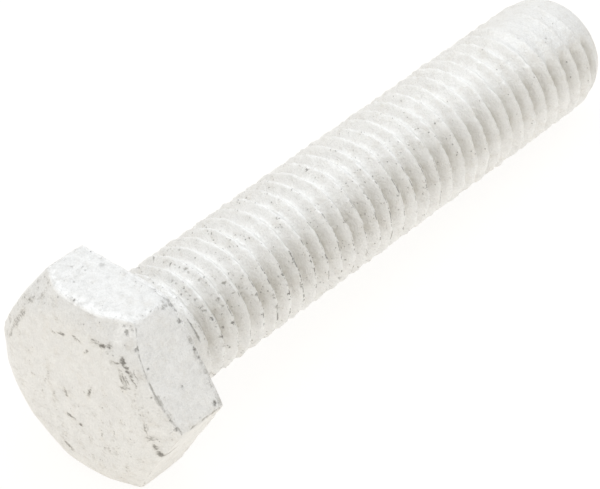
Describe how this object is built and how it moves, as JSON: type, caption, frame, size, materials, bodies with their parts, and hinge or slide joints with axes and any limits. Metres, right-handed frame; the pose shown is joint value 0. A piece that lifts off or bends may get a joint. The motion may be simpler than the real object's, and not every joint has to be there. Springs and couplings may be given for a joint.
{
  "type": "hex bolt",
  "caption": "Fully threaded hex bolt with a chamfered six-sided head, rounded end and rough galvanised coat, for clamping parts with a nut or in a tapped hole.",
  "frame": {"origin": "on the bolt's axis, in the plane of the bearing face under the head", "axes": "+X along the shank from the bearing face to the tip; +Z square to one of the head's flats, up when the bolt lies down"},
  "size_m": [0.0675, 0.0218, 0.0188],
  "materials": {
    "zinc_coat": "matte"
  },
  "bodies": {
    "root": {"hex_bolt": "zinc_coat"}
  },
  "joints": []
}
